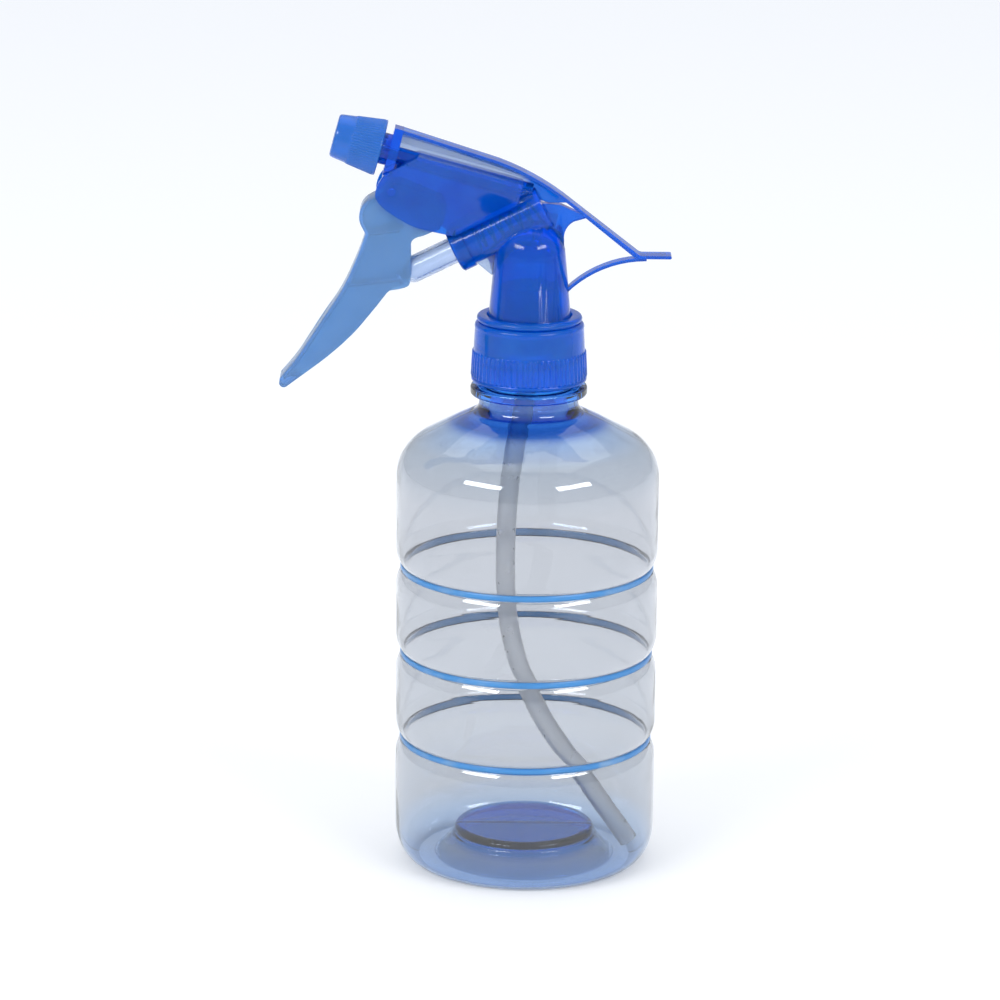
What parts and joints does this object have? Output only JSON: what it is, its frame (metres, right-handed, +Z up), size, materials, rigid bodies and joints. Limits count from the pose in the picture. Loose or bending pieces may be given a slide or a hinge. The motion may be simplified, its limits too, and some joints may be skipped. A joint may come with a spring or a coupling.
{
  "type": "trigger spray bottle",
  "caption": "Round grooved bottle with a screw-on trigger sprayer: pull the trigger and the piston pump draws liquid up the dip tube and sprays it from the adjustable nozzle.",
  "frame": {"origin": "on the bottle's axis, on the surface that the bottle stands on", "axes": "+Z up along the bottle's axis, the spray leaves towards -X and the tail points to +X, +Y completes the right-handed frame"},
  "size_m": [0.1098, 0.0744, 0.2162],
  "materials": {
    "clear_pet": "blow-moulded clear polyester with a faint blue tint, polished",
    "blue_band": "glossy blue band",
    "closure_pp": "translucent blue polypropylene, satin",
    "body_pp": "translucent blue polypropylene, satin",
    "trigger_pp": "translucent blue polypropylene, satin",
    "nozzle_pp": "translucent blue polypropylene, satin, finely fluted",
    "natural_pp": "natural polypropylene, clear and slightly milky",
    "soft_seal": "soft white polyethylene seal",
    "spring_wire": "drawn stainless spring wire",
    "valve_ball": "ground stainless ball",
    "tube_pe": "extruded natural polyethylene tube, milky"
  },
  "bodies": {
    "bottle": {"bottle": "clear_pet", "band_lower": "blue_band", "band_middle": "blue_band", "band_upper": "blue_band"},
    "head": {"pump_body": "body_pp", "trigger_pin": "body_pp", "cylinder_collar": "closure_pp", "return_spring": "spring_wire", "tube_holder": "closure_pp", "swirl_core": "natural_pp", "neck_gasket": "soft_seal", "dip_tube": "tube_pe"},
    "closure": {"closure": "closure_pp"},
    "trigger": {"trigger": "trigger_pp"},
    "plunger": {"plunger": "natural_pp", "piston_cup": "soft_seal"},
    "nozzle_carrier": {"nozzle_seal": "soft_seal"},
    "nozzle": {"nozzle_cap": "nozzle_pp"},
    "inlet_valve": {"inlet_ball": "valve_ball"},
    "outlet_valve": {"outlet_ball": "valve_ball"}
  },
  "joints": [
    {"name": "head_lift", "type": "slide", "parent": "bottle", "child": "head", "axis": [0, 0, 1], "range_m": [0, 0.00846]},
    {"name": "closure_turn", "type": "hinge", "parent": "head", "child": "closure", "pos_m": [0, 0, 0.15], "axis": [0, 0, 1], "range_deg": [0, 720]},
    {"name": "trigger_pull", "type": "hinge", "parent": "head", "child": "trigger", "pos_m": [-0.0388, 0, 0.1956], "axis": [0, -1, 0], "range_deg": [0, 22], "stiffness_Nm_per_rad": 0.06, "springref_deg": -17.19},
    {"name": "plunger_slide", "type": "slide", "parent": "head", "child": "plunger", "axis": [0.8949, 0, 0.4462], "range_m": [0, 0.0095], "deforming": ["return_spring"]},
    {"name": "nozzle_travel", "type": "slide", "parent": "head", "child": "nozzle_carrier", "axis": [-0.9659, 0, 0.2588], "range_m": [0, 0.003]},
    {"name": "nozzle_turn", "type": "hinge", "parent": "nozzle_carrier", "child": "nozzle", "pos_m": [-0.0397, 0, 0.2064], "axis": [-0.9659, 0, 0.2588], "range_deg": [0, 540]},
    {"name": "inlet_ball_lift", "type": "slide", "parent": "head", "child": "inlet_valve", "axis": [0, 0, 1], "range_m": [0, 0.0012]},
    {"name": "outlet_ball_lift", "type": "slide", "parent": "head", "child": "outlet_valve", "axis": [-0.9659, 0, 0.2588], "range_m": [0, 0.0012]}
  ],
  "couplings": [
    {"joint": "closure_turn", "follows": "head_lift", "rad_per_m": 1485.4},
    {"joint": "plunger_slide", "follows": "trigger_pull", "m_per_rad": 0.0237},
    {"joint": "nozzle_turn", "follows": "nozzle_travel", "rad_per_m": 3141.6}
  ]
}
